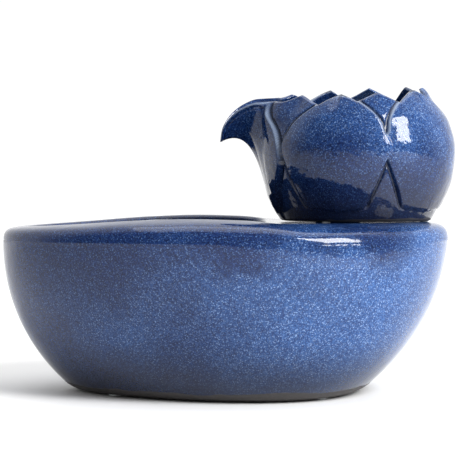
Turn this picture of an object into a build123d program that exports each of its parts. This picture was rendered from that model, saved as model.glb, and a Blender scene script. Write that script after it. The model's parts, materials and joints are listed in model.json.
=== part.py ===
from build123d import *
import os
from math import cos, pi, radians, sin, sqrt

# A tabletop pet fountain in glazed stoneware, with its submersible pump.
# An egg-shaped basin has a pool at one end and a closed deck at the other. The pump stands on
# the basin's floor under the deck. Its hose rises through the deck into a lotus-flower bowl,
# and the water pours from the bowl's beak back into the pool.
# Millimetres. +Z is up, +X runs from the pool to the deck, and the origin is the centre of the
# bounding box's bottom face.

# Basin body: every level section is an egg, and the side follows an elliptical arc
BASIN_LENGTH = 256.0
BASIN_WIDTH = 198.0
BASIN_CENTRE_X = -2.0
BELLY_Z = 90.0  # height of the widest section
BELLY_DROP = 117.0  # half height of the arc that the side follows
FOOT_SHIFT = 5.0  # how far the foot sits towards the pool end
BELLY_BLUNTNESS = 0.08  # how much wider the deck end is than the pool end, at the belly
FOOT_BLUNTNESS = 0.28  # the same, at the foot
EGG_POINTS = 20
SECTION_HEIGHTS = (20.0, 40.0, 60.0, 80.0)  # level sections that the basin's sides pass through
LOW_SECTION_Z = 8.0

FOOT_Z = 1.0
FOOT_EDGE_RADIUS = 4.0
FOOT_RING_WIDTH = 14.0
FOOT_RECESS_DEPTH = 3.0
FLOOR_Z = 10.0
FLOOR_CORNER_RADIUS = 2.5
WALL = 5.5
WALL_GAIN = 3.0  # extra level thickness of the wall at the foot
RIM_TOP_Z = 104.0  # above every point of the rim, before the rim is trimmed
SHOULDER_RADIUS = 9.0

# Rim line seen from the side, from the pool end to the flat deck: x, z
RIM_LINE = [
    (-140.0, 93.2),
    (-121.0, 94.4),
    (-90.0, 96.1),
    (-48.0, 98.9),
    (-20.0, 99.7),
    (8.0, 99.0),
    (30.0, 97.0),
]
DECK_Z = 97.0
DECK_THICKNESS = 6.5
DECK_EDGE_X = 20.0
DECK_ROOT = 5.0  # how far past its straight edge the deck's corners run into the wall
DECK_END_X = 140.0
POOL_HALF_LENGTH = 115.0
POOL_HALF_WIDTH = 77.0
POOL_CORNER_RADIUS = 24.0
POOL_EDGE_RADIUS = 2.5
POOL_CUT_DEPTH = 6.0  # how far the pool's cutter reaches below the deck's back
POOL_EDGE_BAND = 6.0  # how far the mouth's edges may lie outside its half width

CUT = 1.0  # how far a cutting shape runs past the face that it cuts
LONG_CUT = 10.0  # the same, through curved walls
EDGE_BAND = 0.5  # how near its level an edge has to be to be rounded with it

# Silicone pads set in the foot ring
PAD_RADIUS = 4.0
PAD_HEIGHT = 2.0
PAD_RECESS = 1.0
PAD_INSET = 9.0
PAD_ANGLES = (40.0, 140.0, 220.0, 320.0)

# Cord outlet in the back wall
CORD_X = 40.0
CORD_Z = 78.0
CORD_BORE_RADIUS = 2.3
CORD_HOLE_RADIUS = 5.0
CORD_SEAT_RADIUS = 8.5
CORD_FLANGE_RADIUS = 8.0
CORD_FLANGE = 1.6
CORD_SEAT_Y = 91.5  # flat seat cut into the outside of the wall
CORD_SEAT_BACK_Y = 86.5  # flat seat cut into the inside of the wall

# Pump: the rotor turns about an axis along Y, and the inlet faces the front
PUMP_X = 54.0
AXIS_Z = 42.0
HOUSING_WIDTH = 38.0
HOUSING_BASE_Z = 17.0
HOUSING_TOP_Z = 61.0
HOUSING_FRONT_Y = -5.0
HOUSING_BACK_Y = 33.0
HOUSING_CORNER = 6.0
HOUSING_WALL = 2.0
CHAMBER_RADIUS = 14.5
CHAMBER_BACK_Y = 5.0
WELL_RADIUS = 7.6
WELL_WALL = 1.2
WELL_END_Y = 29.0
SEAL_RADIUS = 15.75
SEAL_SECTION = 0.7
SEAL_GAP = 0.1
NOZZLE_X = PUMP_X + 9.5
NOZZLE_RADIUS = 4.0
NOZZLE_BORE = 3.0
NOZZLE_TOP_Z = 71.0
NOZZLE_COLLAR_RADIUS = 4.9
NOZZLE_COLLAR = 1.5

CORE_WIDTH = 30.0
CORE_FRONT_Y = 11.0
CORE_BACK_Y = 24.0
CORE_BASE_Z = 23.0
CORE_TOP_Z = 52.0
CORE_LIMB = 7.5
CORE_YOKE = 5.0
CORE_BORE = 9.1
BOBBIN_WALL = 0.8
BOBBIN_LENGTH = 14.4
COIL_BUILD = 2.4

SHAFT_RADIUS = 1.0
SHAFT_FRONT_Y = -8.5
SHAFT_BACK_Y = 28.8
RUNNING_GAP = 0.05
BUSH_RADIUS = 2.6
BUSH_LENGTH = 3.0
MAGNET_RADIUS = 6.9
MAGNET_FRONT_Y = 7.0
MAGNET_BACK_Y = 25.0
SLEEVE_RADIUS = 2.6
IMPELLER_RADIUS = 12.0
IMPELLER_DISC_Y = 3.2
IMPELLER_FRONT_Y = -3.2
IMPELLER_DISC = 1.4
BLADE_THICKNESS = 1.3
BLADE_COUNT = 6
HUB_GAP = 1.0  # between the hub behind the disc and the rotor well

COVER_RADIUS = 17.0
COVER_THICKNESS = 2.0
COVER_LIP = 1.5
EYE_RADIUS = 6.5
BEARING_ARM = 1.6
BEARING_ARM_COUNT = 3
BEARING_ARM_ROOT = 1.0  # how far the arms run into the cover
BEARING_BOSS_RADIUS = 3.6

STRAINER_FRONT_Y = -24.0
STRAINER_WALL = 1.6
STRAINER_GAP = 0.3
STRAINER_SLOT = 1.8
STRAINER_SLOT_PITCH = 4.2
STRAINER_SLOT_COUNT = 8
STRAINER_SLOT_LENGTH = 9.0
STRAINER_SLOT_Y = -20.0
STRAINER_SLOT_DROP = 3.0  # how far the middle of the slots is below the pump's axis
SPONGE_GAP = 0.4
SPONGE_BACK_Y = -12.0
DIAL_RADIUS = 13.5
DIAL_THICKNESS = 1.8
DIAL_GAP = 0.2
DIAL_PIVOT_RADIUS = 2.0
DIAL_PORT_RADIUS = 2.6
DIAL_PORT_CIRCLE = 8.4
DIAL_PORT_COUNT = 4
DIAL_PORT_START = 45.0
DIAL_GRIP_WIDTH = 3.0
DIAL_GRIP_HEIGHT = 2.6
DIAL_GRIP_INSET = 1.0
DIAL_FRONT_Y = STRAINER_FRONT_Y - DIAL_GAP - DIAL_THICKNESS - DIAL_GRIP_HEIGHT

CUP_RADIUS = 6.0
CUP_SPREAD_X = 12.0
CUP_FRONT_Y = 1.0
CUP_BACK_Y = 22.0
CUP_NECK_RADIUS = 2.0
CUP_STUD = 1.6  # how far the cup's stud enters the housing
CUP_EDGE = 0.6
CUP_HOLLOW = 1.6
CUP_FLARE = 3.6
CUP_WAIST = 0.6  # how much thicker the neck is than its stud

GLAND_X = 44.0
GLAND_Z = 50.0
GLAND_RADIUS = 3.6
GLAND_BORE = 2.3
GLAND_FRONT_Y = 27.0
GLAND_BACK_Y = 40.0
GLAND_CHAMFER = 0.8
GLAND_END_WALL = 3.0  # solid rubber left at the gland's inner end

# Lotus bowl
LOTUS_X = 73.5
BOWL_BASE_Z = DECK_Z + 0.5
BOWL_HEIGHT = 79.3
# Outer profile of the bowl above its foot: radius, height
BOWL_PROFILE = [
    (42.5, 0.0),
    (49.8, 10.0),
    (55.0, 25.0),
    (56.5, 41.0),
    (53.2, 56.0),
    (46.0, 68.0),
    (38.0, 78.5),
]
BOWL_LIP_RISE = 0.01  # the least height of upright wall that closes the turned profile
BOWL_WALL = 4.6
BOWL_FLOOR_Z = 105.0
BOWL_FLOOR = 5.0
BOWL_RECESS_RADIUS = 35.0
PETAL_COUNT = 10
PETAL_NOTCH_RADIUS = 12.5
PETAL_NOTCH_RISE = 7.5
BOWL_PAD_COUNT = 3
BOWL_PAD_RADIUS = 2.5
BOWL_PAD_CIRCLE = 38.8
BOWL_PAD_HEIGHT = 1.5

# Oval sections of the beak, from inside the bowl's wall to the tip: x, underside z, crest z, half width
BEAK_SECTIONS = [
    (44.0, 108.0, 165.0, 25.0),
    (30.0, 114.0, 167.0, 22.5),
    (18.0, 127.0, 167.3, 18.5),
    (10.0, 141.0, 165.5, 15.0),
    (3.0, 144.5, 161.5, 11.5),
    (-2.5, 143.2, 154.5, 6.5),
    (-5.0, 142.5, 147.0, 2.0),
]
BEAK_WALL = 3.8
BEAK_CHANNEL_DEPTH = 7.5
BEAK_CHANNEL_RISE = 4.0  # how far the channel's ovals are centred above the crest

# Water outlet in the bowl's floor
OUTLET_HOLE_RADIUS = 6.5
OUTLET_THREAD_RADIUS = 6.0
OUTLET_BORE = 2.8
OUTLET_FLANGE_RADIUS = 11.0
OUTLET_FLANGE = 2.0
OUTLET_TAIL_RADIUS = 4.0
OUTLET_TAIL_Z = 84.0
OUTLET_THREAD_Z = 98.8
WASHER = 1.2
WASHER_RADIUS = 10.5
NUT_ACROSS = 19.0
NUT_HEIGHT = 5.0
CAP_RADIUS = 8.0
CAP_HEIGHT = 9.0
CAP_WALL = 1.6
CAP_SLOT = 2.4
CAP_SLOT_COUNT = 6
HOSE_RADIUS = 5.5
HOSE_BASE_Z = 62.9
HOSE_TOP_Z = 98.0
GROMMET_HOLE_RADIUS = 9.0
GROMMET_BORE = 6.8
GROMMET_FLANGE_RADIUS = 12.0
GROMMET_FLANGE = 1.2


def save(shape, node):
    export_step(shape, f"parts/{node}.step")


def rod(x, z, radius, y_start, y_end):
    """A round bar along Y."""
    disc = Plane(origin=(x, y_start, z), x_dir=(1, 0, 0), z_dir=(0, 1, 0)) * Circle(radius)
    return extrude(disc, amount=y_end - y_start)


def post(x, y, radius, z_start, z_end):
    """A round bar along Z."""
    return extrude(Plane.XY.offset(z_start) * Pos(x, y) * Circle(radius), amount=z_end - z_start)


def block(x_range, y_range, z_range):
    size = [high - low for low, high in (x_range, y_range, z_range)]
    centre = [(low + high) / 2 for low, high in (x_range, y_range, z_range)]
    return Pos(*centre) * Box(*size)


def egg_point(angle, z, inset):
    """The point of the basin's level section at an angle, moved in by an inset."""
    arc = sqrt(1 - ((BELLY_Z - z) / BELLY_DROP) ** 2)
    low = max(0.0, 1 - z / BELLY_Z)
    bluntness = BELLY_BLUNTNESS + (FOOT_BLUNTNESS - BELLY_BLUNTNESS) * low
    x = (BASIN_LENGTH / 2 * arc - inset) * cos(angle)
    y = (BASIN_WIDTH / 2 * arc - inset) * sin(angle) * (1 + bluntness * cos(angle))
    return (BASIN_CENTRE_X - FOOT_SHIFT * low + x, y, z)


def egg_face(z, inset=0.0):
    points = [egg_point(2 * pi * step / EGG_POINTS, z, inset) for step in range(EGG_POINTS)]
    return make_face(Spline(*points, periodic=True))


def inner_face(z):
    return egg_face(z, WALL + WALL_GAIN * max(0.0, 1 - z / BELLY_Z))


def basin_outside():
    body = loft([egg_face(z) for z in (FOOT_Z, LOW_SECTION_Z, *SECTION_HEIGHTS, RIM_TOP_Z)])
    rim = Spline(*RIM_LINE, tangents=[(1, 0), (1, 0)])
    left_x, left_z = RIM_LINE[0]
    right_x = RIM_LINE[-1][0]
    frame = Polyline(
        (right_x, DECK_Z),
        (DECK_END_X, DECK_Z),
        (DECK_END_X, -CUT),
        (left_x, -CUT),
        (left_x, left_z),
    )
    side = Plane.XZ * make_face([rim, frame])
    body = body & extrude(side, amount=BASIN_WIDTH, both=True)
    rim_edges = [edge for edge in body.edges() if edge.bounding_box().min.Z > BELLY_Z]
    body = fillet(rim_edges, SHOULDER_RADIUS)
    foot_edges = [edge for edge in body.edges() if edge.bounding_box().max.Z < FOOT_Z + EDGE_BAND]
    return fillet(foot_edges, FOOT_EDGE_RADIUS)


def pool_opening():
    """The mouth of the pool, straight along the deck's edge and egg-shaped elsewhere."""
    points = []
    for step in range(EGG_POINTS):
        angle = 2 * pi * step / EGG_POINTS
        x = BASIN_CENTRE_X + POOL_HALF_LENGTH * cos(angle)
        y = POOL_HALF_WIDTH * sin(angle) * (1 + BELLY_BLUNTNESS * cos(angle))
        points.append((x, y))
    mouth = make_face(Spline(*points, periodic=True))
    left = BASIN_CENTRE_X - POOL_HALF_LENGTH - CUT
    keep = Pos((left + DECK_EDGE_X) / 2, 0) * Rectangle(DECK_EDGE_X - left, BASIN_WIDTH)
    mouth = mouth & keep
    mouth = fillet(mouth.vertices(), POOL_CORNER_RADIUS)
    start_z = DECK_Z - DECK_THICKNESS - POOL_CUT_DEPTH
    return extrude(Plane.XY.offset(start_z) * mouth, amount=RIM_TOP_Z + LONG_CUT - start_z)


def fired_basin():
    """The whole ceramic basin, with its deck."""
    body = basin_outside()
    deck_back_z = DECK_Z - DECK_THICKNESS
    hollow = loft([inner_face(z) for z in (FLOOR_Z, *SECTION_HEIGHTS, deck_back_z)])
    floor_edges = [edge for edge in hollow.edges() if edge.bounding_box().max.Z < FLOOR_Z + EDGE_BAND]
    body = body - fillet(floor_edges, FLOOR_CORNER_RADIUS) - pool_opening()
    mouth_edges = [
        edge
        for edge in body.edges()
        if edge.bounding_box().min.Z > deck_back_z + CUT
        and abs(edge.center().Y) < POOL_HALF_WIDTH + POOL_EDGE_BAND
        and edge.bounding_box().max.X < DECK_EDGE_X + CUT
        and edge.bounding_box().min.X > BASIN_CENTRE_X - POOL_HALF_LENGTH - CUT
    ]
    body = fillet(mouth_edges, POOL_EDGE_RADIUS)
    recess = extrude(egg_face(FOOT_Z, FOOT_RING_WIDTH), amount=FOOT_RECESS_DEPTH)
    body = body - recess
    for x, y in pad_places():
        body = body - post(x, y, PAD_RADIUS, 0, FOOT_Z + PAD_RECESS)
    body = body - post(NOZZLE_X, 0, GROMMET_HOLE_RADIUS, deck_back_z - CUT, DECK_Z + CUT)
    body = body - rod(CORD_X, CORD_Z, CORD_HOLE_RADIUS, CORD_SEAT_BACK_Y - CUT, CORD_SEAT_Y + CUT)
    body = body - rod(CORD_X, CORD_Z, CORD_SEAT_RADIUS, CORD_SEAT_Y, CORD_SEAT_Y + LONG_CUT)
    return body - rod(CORD_X, CORD_Z, CORD_SEAT_RADIUS, CORD_SEAT_BACK_Y - LONG_CUT, CORD_SEAT_BACK_Y)


def deck_zone():
    """The room that the deck fills inside the wall, past the pool's straight edge."""
    start_z = DECK_Z - DECK_THICKNESS - CUT
    zone = extrude(egg_face(start_z, WALL + CUT), amount=RIM_TOP_Z - start_z)
    past_edge = block((DECK_EDGE_X - DECK_ROOT, DECK_END_X), (-BASIN_WIDTH, BASIN_WIDTH), (start_z, RIM_TOP_Z))
    return zone & past_edge


def pad_places():
    return [egg_point(radians(angle), FOOT_Z, PAD_INSET)[:2] for angle in PAD_ANGLES]


def foot_pads():
    return Compound([post(x, y, PAD_RADIUS, 0, PAD_HEIGHT) for x, y in pad_places()])


def cord_grommet():
    """Flanges on both sides of the wall and a bore for the cord."""
    outer_y = CORD_SEAT_Y + CORD_FLANGE
    inner_y = CORD_SEAT_BACK_Y - CORD_FLANGE
    body = rod(CORD_X, CORD_Z, CORD_HOLE_RADIUS - RUNNING_GAP, CORD_SEAT_BACK_Y, CORD_SEAT_Y)
    body = body + rod(CORD_X, CORD_Z, CORD_FLANGE_RADIUS, CORD_SEAT_Y, outer_y)
    body = body + rod(CORD_X, CORD_Z, CORD_FLANGE_RADIUS, inner_y, CORD_SEAT_BACK_Y)
    return body - rod(CORD_X, CORD_Z, CORD_BORE_RADIUS, inner_y - CUT, outer_y + CUT)


def deck_grommet():
    """The rubber ring that the hose passes through."""
    back_z = DECK_Z - DECK_THICKNESS
    body = post(NOZZLE_X, 0, GROMMET_HOLE_RADIUS - RUNNING_GAP, back_z, DECK_Z)
    body = body + post(NOZZLE_X, 0, GROMMET_FLANGE_RADIUS, DECK_Z, DECK_Z + GROMMET_FLANGE)
    body = body + post(NOZZLE_X, 0, GROMMET_FLANGE_RADIUS, back_z - GROMMET_FLANGE, back_z)
    return body - post(NOZZLE_X, 0, GROMMET_BORE, back_z - LONG_CUT, DECK_Z + LONG_CUT)


def housing_block(y_start, y_end, inset=0.0):
    """The housing's outline, run along Y."""
    width = HOUSING_WIDTH - 2 * inset
    height = HOUSING_TOP_Z - HOUSING_BASE_Z - 2 * inset
    centre_z = (HOUSING_TOP_Z + HOUSING_BASE_Z) / 2
    outline = RectangleRounded(width, height, HOUSING_CORNER - inset)
    plane = Plane(origin=(PUMP_X, y_start, centre_z), x_dir=(1, 0, 0), z_dir=(0, 1, 0))
    return extrude(plane * outline, amount=y_end - y_start)


def motor_cavity():
    web_back_y = CHAMBER_BACK_Y + HOUSING_WALL
    cavity = housing_block(web_back_y, HOUSING_BACK_Y, HOUSING_WALL)
    return cavity - rod(PUMP_X, AXIS_Z, WELL_RADIUS + WELL_WALL, 0, WELL_END_Y + WELL_WALL)


def cup_places():
    return [(PUMP_X + side * CUP_SPREAD_X, y) for side in (-1, 1) for y in (CUP_FRONT_Y, CUP_BACK_Y)]


def pump_housing():
    body = housing_block(HOUSING_FRONT_Y, HOUSING_BACK_Y)
    body = body + post(NOZZLE_X, 0, NOZZLE_RADIUS, HOUSING_TOP_Z, NOZZLE_TOP_Z)
    body = body + post(NOZZLE_X, 0, NOZZLE_COLLAR_RADIUS, HOUSING_TOP_Z, HOUSING_TOP_Z + NOZZLE_COLLAR)
    body = body - rod(PUMP_X, AXIS_Z, CHAMBER_RADIUS, HOUSING_FRONT_Y - CUT, CHAMBER_BACK_Y)
    body = body - rod(PUMP_X, AXIS_Z, WELL_RADIUS, 0, WELL_END_Y)
    body = body - motor_cavity()
    body = body - post(NOZZLE_X, 0, NOZZLE_BORE, AXIS_Z, NOZZLE_TOP_Z + CUT)
    body = body - seal_groove()
    for x, y in cup_places():
        body = body - post(x, y, CUP_NECK_RADIUS, HOUSING_BASE_Z - CUT, HOUSING_BASE_Z + CUP_STUD)
    return body


def seal_groove():
    back_y = HOUSING_FRONT_Y + 2 * SEAL_SECTION
    half_width = SEAL_SECTION + SEAL_GAP
    groove = rod(PUMP_X, AXIS_Z, SEAL_RADIUS + half_width, HOUSING_FRONT_Y - CUT, back_y)
    return groove - rod(PUMP_X, AXIS_Z, SEAL_RADIUS - half_width, HOUSING_FRONT_Y - 2 * CUT, back_y + CUT)


def volute_seal():
    plane = Plane(origin=(PUMP_X, HOUSING_FRONT_Y, AXIS_Z), x_dir=(1, 0, 0), z_dir=(0, 1, 0))
    return plane.location * Pos(0, 0, SEAL_SECTION) * Torus(SEAL_RADIUS, SEAL_SECTION)


def stator_core():
    """A U of laminations whose two limbs hug the rotor well."""
    half = CORE_WIDTH / 2
    y_range = (CORE_FRONT_Y, CORE_BACK_Y)
    body = block((PUMP_X - half, PUMP_X + half), y_range, (CORE_BASE_Z, CORE_TOP_Z))
    gap = half - CORE_LIMB
    slot = block((PUMP_X - gap, PUMP_X + gap), (0, WELL_END_Y), (CORE_BASE_Z + CORE_YOKE, CORE_TOP_Z + CUT))
    return body - slot - rod(PUMP_X, AXIS_Z, CORE_BORE, 0, WELL_END_Y)


def yoke_sleeve(wall, x_half):
    """A block round the core's yoke, thicker than it by a wall on every side."""
    y_range = (CORE_FRONT_Y - wall, CORE_BACK_Y + wall)
    z_range = (CORE_BASE_Z - wall, CORE_BASE_Z + CORE_YOKE + wall)
    return block((PUMP_X - x_half, PUMP_X + x_half), y_range, z_range)


def coil_bobbin():
    half = BOBBIN_LENGTH / 2
    flange = BOBBIN_WALL + COIL_BUILD
    winding = yoke_sleeve(flange + CUT, half - BOBBIN_WALL) - yoke_sleeve(BOBBIN_WALL, half)
    body = yoke_sleeve(flange, half) - winding
    return body - yoke_sleeve(0, half + CUT)


def stator_coil():
    half = BOBBIN_LENGTH / 2 - BOBBIN_WALL
    return yoke_sleeve(BOBBIN_WALL + COIL_BUILD, half) - yoke_sleeve(BOBBIN_WALL, half + CUT)


def cable_gland():
    body = rod(GLAND_X, GLAND_Z, GLAND_RADIUS, GLAND_FRONT_Y, GLAND_BACK_Y)
    back = body.edges().sort_by(Axis.Y)[-1]
    body = chamfer(back, GLAND_CHAMFER)
    return body - rod(GLAND_X, GLAND_Z, GLAND_BORE, GLAND_FRONT_Y + GLAND_END_WALL, GLAND_BACK_Y + CUT)


def potting_resin():
    """The resin that seals the motor into the housing, open at the back."""
    body = motor_cavity() - stator_core() - coil_bobbin() - stator_coil()
    return body - rod(GLAND_X, GLAND_Z, GLAND_RADIUS, GLAND_FRONT_Y, GLAND_BACK_Y)


def shaft_bush(y_start):
    body = rod(PUMP_X, AXIS_Z, BUSH_RADIUS, y_start, y_start + BUSH_LENGTH)
    return body - rod(PUMP_X, AXIS_Z, SHAFT_RADIUS, y_start - CUT, y_start + BUSH_LENGTH + CUT)


def rear_bush():
    return shaft_bush(WELL_END_Y - BUSH_LENGTH)


def front_bush():
    return shaft_bush(SHAFT_FRONT_Y)


def rotor_shaft():
    return rod(PUMP_X, AXIS_Z, SHAFT_RADIUS, SHAFT_FRONT_Y, SHAFT_BACK_Y)


def rotor_magnet():
    body = rod(PUMP_X, AXIS_Z, MAGNET_RADIUS, MAGNET_FRONT_Y, MAGNET_BACK_Y)
    return body - rod(PUMP_X, AXIS_Z, SLEEVE_RADIUS, MAGNET_FRONT_Y - CUT, MAGNET_BACK_Y + CUT)


def impeller():
    """A disc with straight blades, and the sleeve that carries the magnet."""
    sleeve_front_y = IMPELLER_FRONT_Y
    body = rod(PUMP_X, AXIS_Z, SLEEVE_RADIUS, sleeve_front_y, MAGNET_BACK_Y)
    body = body + rod(PUMP_X, AXIS_Z, IMPELLER_RADIUS, IMPELLER_DISC_Y, IMPELLER_DISC_Y + IMPELLER_DISC)
    body = body + rod(PUMP_X, AXIS_Z, WELL_RADIUS - HUB_GAP, IMPELLER_DISC_Y, MAGNET_FRONT_Y)
    blade = block(
        (PUMP_X, PUMP_X + IMPELLER_RADIUS),
        (IMPELLER_FRONT_Y, IMPELLER_DISC_Y),
        (AXIS_Z - BLADE_THICKNESS / 2, AXIS_Z + BLADE_THICKNESS / 2),
    )
    axis = Axis((PUMP_X, 0, AXIS_Z), (0, 1, 0))
    for step in range(BLADE_COUNT):
        body = body + blade.rotate(axis, 360 * step / BLADE_COUNT)
    return body - rod(PUMP_X, AXIS_Z, SHAFT_RADIUS + RUNNING_GAP, sleeve_front_y - CUT, MAGNET_BACK_Y + CUT)


def volute_cover():
    """Closes the chamber and holds the front bush in the middle of the inlet eye."""
    front_y = HOUSING_FRONT_Y - COVER_THICKNESS
    body = rod(PUMP_X, AXIS_Z, COVER_RADIUS, front_y, HOUSING_FRONT_Y)
    lip_y = HOUSING_FRONT_Y + COVER_LIP
    body = body + rod(PUMP_X, AXIS_Z, CHAMBER_RADIUS - RUNNING_GAP, HOUSING_FRONT_Y, lip_y)
    body = body - rod(PUMP_X, AXIS_Z, CHAMBER_RADIUS - COVER_LIP, HOUSING_FRONT_Y, lip_y + CUT)
    body = body - rod(PUMP_X, AXIS_Z, EYE_RADIUS, front_y - CUT, HOUSING_FRONT_Y + CUT)
    boss = rod(PUMP_X, AXIS_Z, BEARING_BOSS_RADIUS, front_y - COVER_THICKNESS, HOUSING_FRONT_Y)
    arm = block(
        (PUMP_X, PUMP_X + EYE_RADIUS + BEARING_ARM_ROOT),
        (front_y, HOUSING_FRONT_Y),
        (AXIS_Z - BEARING_ARM / 2, AXIS_Z + BEARING_ARM / 2),
    )
    axis = Axis((PUMP_X, 0, AXIS_Z), (0, 1, 0))
    for step in range(BEARING_ARM_COUNT):
        body = body + arm.rotate(axis, 90 + 360 * step / BEARING_ARM_COUNT)
    body = body + boss - rod(PUMP_X, AXIS_Z, BUSH_RADIUS, SHAFT_FRONT_Y, SHAFT_FRONT_Y + BUSH_LENGTH)
    return body - rod(PUMP_X, AXIS_Z, SHAFT_RADIUS, SHAFT_FRONT_Y, HOUSING_FRONT_Y + CUT)


def intake_cover():
    """The slotted cover that clips on to the housing's front and carries the dial."""
    back_y = HOUSING_FRONT_Y - STRAINER_GAP
    body = housing_block(STRAINER_FRONT_Y, back_y)
    body = body - housing_block(STRAINER_FRONT_Y + STRAINER_WALL, back_y + CUT, STRAINER_WALL)
    x_range = (PUMP_X - HOUSING_WIDTH, PUMP_X + HOUSING_WIDTH)
    y_range = (STRAINER_SLOT_Y, STRAINER_SLOT_Y + STRAINER_SLOT_LENGTH)
    for step in range(STRAINER_SLOT_COUNT):
        z = AXIS_Z - STRAINER_SLOT_DROP + (step - (STRAINER_SLOT_COUNT - 1) / 2) * STRAINER_SLOT_PITCH
        body = body - block(x_range, y_range, (z - STRAINER_SLOT / 2, z + STRAINER_SLOT / 2))
    for step in range(DIAL_PORT_COUNT):
        body = body - dial_port(step)
    return body + rod(PUMP_X, AXIS_Z, DIAL_PIVOT_RADIUS, DIAL_FRONT_Y, STRAINER_FRONT_Y + STRAINER_WALL)


def dial_port(step):
    angle = radians(360 * step / DIAL_PORT_COUNT + DIAL_PORT_START)
    x = PUMP_X + DIAL_PORT_CIRCLE * cos(angle)
    z = AXIS_Z + DIAL_PORT_CIRCLE * sin(angle)
    return rod(x, z, DIAL_PORT_RADIUS, DIAL_FRONT_Y - CUT, STRAINER_FRONT_Y + STRAINER_WALL + CUT)


def prefilter_sponge():
    """A foam block inside the cover, in front of the chamber's inlet."""
    y_start = STRAINER_FRONT_Y + STRAINER_WALL + SPONGE_GAP
    return housing_block(y_start, SPONGE_BACK_Y, STRAINER_WALL + SPONGE_GAP)


def flow_dial():
    """A disc that turns on the cover's pivot and shuts its ports."""
    back_y = STRAINER_FRONT_Y - DIAL_GAP
    face_y = back_y - DIAL_THICKNESS
    grip = block(
        (PUMP_X - DIAL_RADIUS + DIAL_GRIP_INSET, PUMP_X + DIAL_RADIUS - DIAL_GRIP_INSET),
        (DIAL_FRONT_Y, face_y),
        (AXIS_Z - DIAL_GRIP_WIDTH / 2, AXIS_Z + DIAL_GRIP_WIDTH / 2),
    )
    body = rod(PUMP_X, AXIS_Z, DIAL_RADIUS, face_y, back_y) + grip
    body = body + rod(PUMP_X, AXIS_Z, 2 * DIAL_PIVOT_RADIUS, DIAL_FRONT_Y, back_y)
    for step in range(DIAL_PORT_COUNT):
        body = body - dial_port(step)
    return body - rod(PUMP_X, AXIS_Z, DIAL_PIVOT_RADIUS + RUNNING_GAP, DIAL_FRONT_Y - CUT, back_y + CUT)


def suction_cup(x, y):
    """A flared cup with a stud that pushes into the housing's base."""
    profile = Polyline(
        (0, FLOOR_Z + CUP_HOLLOW),
        (CUP_RADIUS - CUP_EDGE, FLOOR_Z),
        (CUP_RADIUS, FLOOR_Z),
        (CUP_RADIUS, FLOOR_Z + CUP_EDGE),
        (CUP_NECK_RADIUS + CUP_WAIST, FLOOR_Z + CUP_FLARE),
        (CUP_NECK_RADIUS + CUP_WAIST, HOUSING_BASE_Z),
        (CUP_NECK_RADIUS, HOUSING_BASE_Z),
        (CUP_NECK_RADIUS, HOUSING_BASE_Z + CUP_STUD),
        (0, HOUSING_BASE_Z + CUP_STUD),
        close=True,
    )
    return Pos(x, y) * revolve(Plane.XZ * make_face(profile), Axis.Z)


def suction_cups():
    return Compound([suction_cup(x, y) for x, y in cup_places()])


def bowl_turned(inset, rise):
    """The bowl's side profile, moved in by an inset and carried up by a rise, turned solid."""
    points = [(radius - inset, BOWL_BASE_Z + height) for radius, height in BOWL_PROFILE]
    foot_x, foot_z = points[0]
    lip_x, lip_z = points[-1]
    rest = Polyline((lip_x, lip_z), (lip_x, lip_z + rise), (0, lip_z + rise), (0, foot_z), (foot_x, foot_z))
    face = Plane.XZ * make_face([Spline(*points), rest])
    return Pos(LOTUS_X, 0) * revolve(face, Axis.Z)


def oval(x, centre_z, half_width, half_height):
    plane = Plane(origin=(x, 0, centre_z), x_dir=(0, 1, 0), z_dir=(1, 0, 0))
    return plane * Ellipse(half_width, half_height)


def beak_outside():
    sections = [oval(x, (low + high) / 2, half, (high - low) / 2) for x, low, high, half in BEAK_SECTIONS]
    return loft(sections)


def beak_channel():
    """The trough along the beak's top, from the bowl's inside to the tip."""
    sections = []
    for x, _, crest_z, half in BEAK_SECTIONS[:-1]:
        half_height = BEAK_CHANNEL_RISE + BEAK_CHANNEL_DEPTH
        sections.append(oval(x, crest_z + BEAK_CHANNEL_RISE, half - BEAK_WALL, half_height))
    return loft(sections)


def bowl_pad_places():
    angles = [2 * pi * step / BOWL_PAD_COUNT for step in range(BOWL_PAD_COUNT)]
    return [(LOTUS_X + BOWL_PAD_CIRCLE * cos(angle), BOWL_PAD_CIRCLE * sin(angle)) for angle in angles]


def lotus_bowl():
    top_z = BOWL_BASE_Z + BOWL_HEIGHT
    floor_top_z = BOWL_FLOOR_Z + BOWL_FLOOR
    inside = bowl_turned(BOWL_WALL, LONG_CUT) - post(LOTUS_X, 0, BASIN_WIDTH / 2, 0, floor_top_z)
    body = bowl_turned(0.0, BOWL_LIP_RISE) + beak_outside() - inside - beak_channel()
    body = body - post(LOTUS_X, 0, BASIN_WIDTH / 2, top_z, top_z + LONG_CUT)
    for step in range(PETAL_COUNT):
        angle = 360 * (step + 0.5) / PETAL_COUNT
        notch = rod(0, top_z + PETAL_NOTCH_RISE, PETAL_NOTCH_RADIUS, 0, BASIN_WIDTH / 2)
        body = body - Pos(LOTUS_X, 0) * notch.rotate(Axis.Z, angle - 90)
    body = body - post(LOTUS_X, 0, BOWL_RECESS_RADIUS, 0, BOWL_FLOOR_Z)
    body = body - post(NOZZLE_X, 0, OUTLET_HOLE_RADIUS, 0, floor_top_z + CUT)
    for x, y in bowl_pad_places():
        body = body - post(x, y, BOWL_PAD_RADIUS, 0, DECK_Z + BOWL_PAD_HEIGHT)
    return body


def bowl_pads():
    places = bowl_pad_places()
    return Compound([post(x, y, BOWL_PAD_RADIUS, DECK_Z, DECK_Z + BOWL_PAD_HEIGHT) for x, y in places])


def outlet_washer(base_z):
    body = post(NOZZLE_X, 0, WASHER_RADIUS, base_z, base_z + WASHER)
    return body - post(NOZZLE_X, 0, OUTLET_HOLE_RADIUS, base_z - CUT, base_z + WASHER + CUT)


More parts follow.
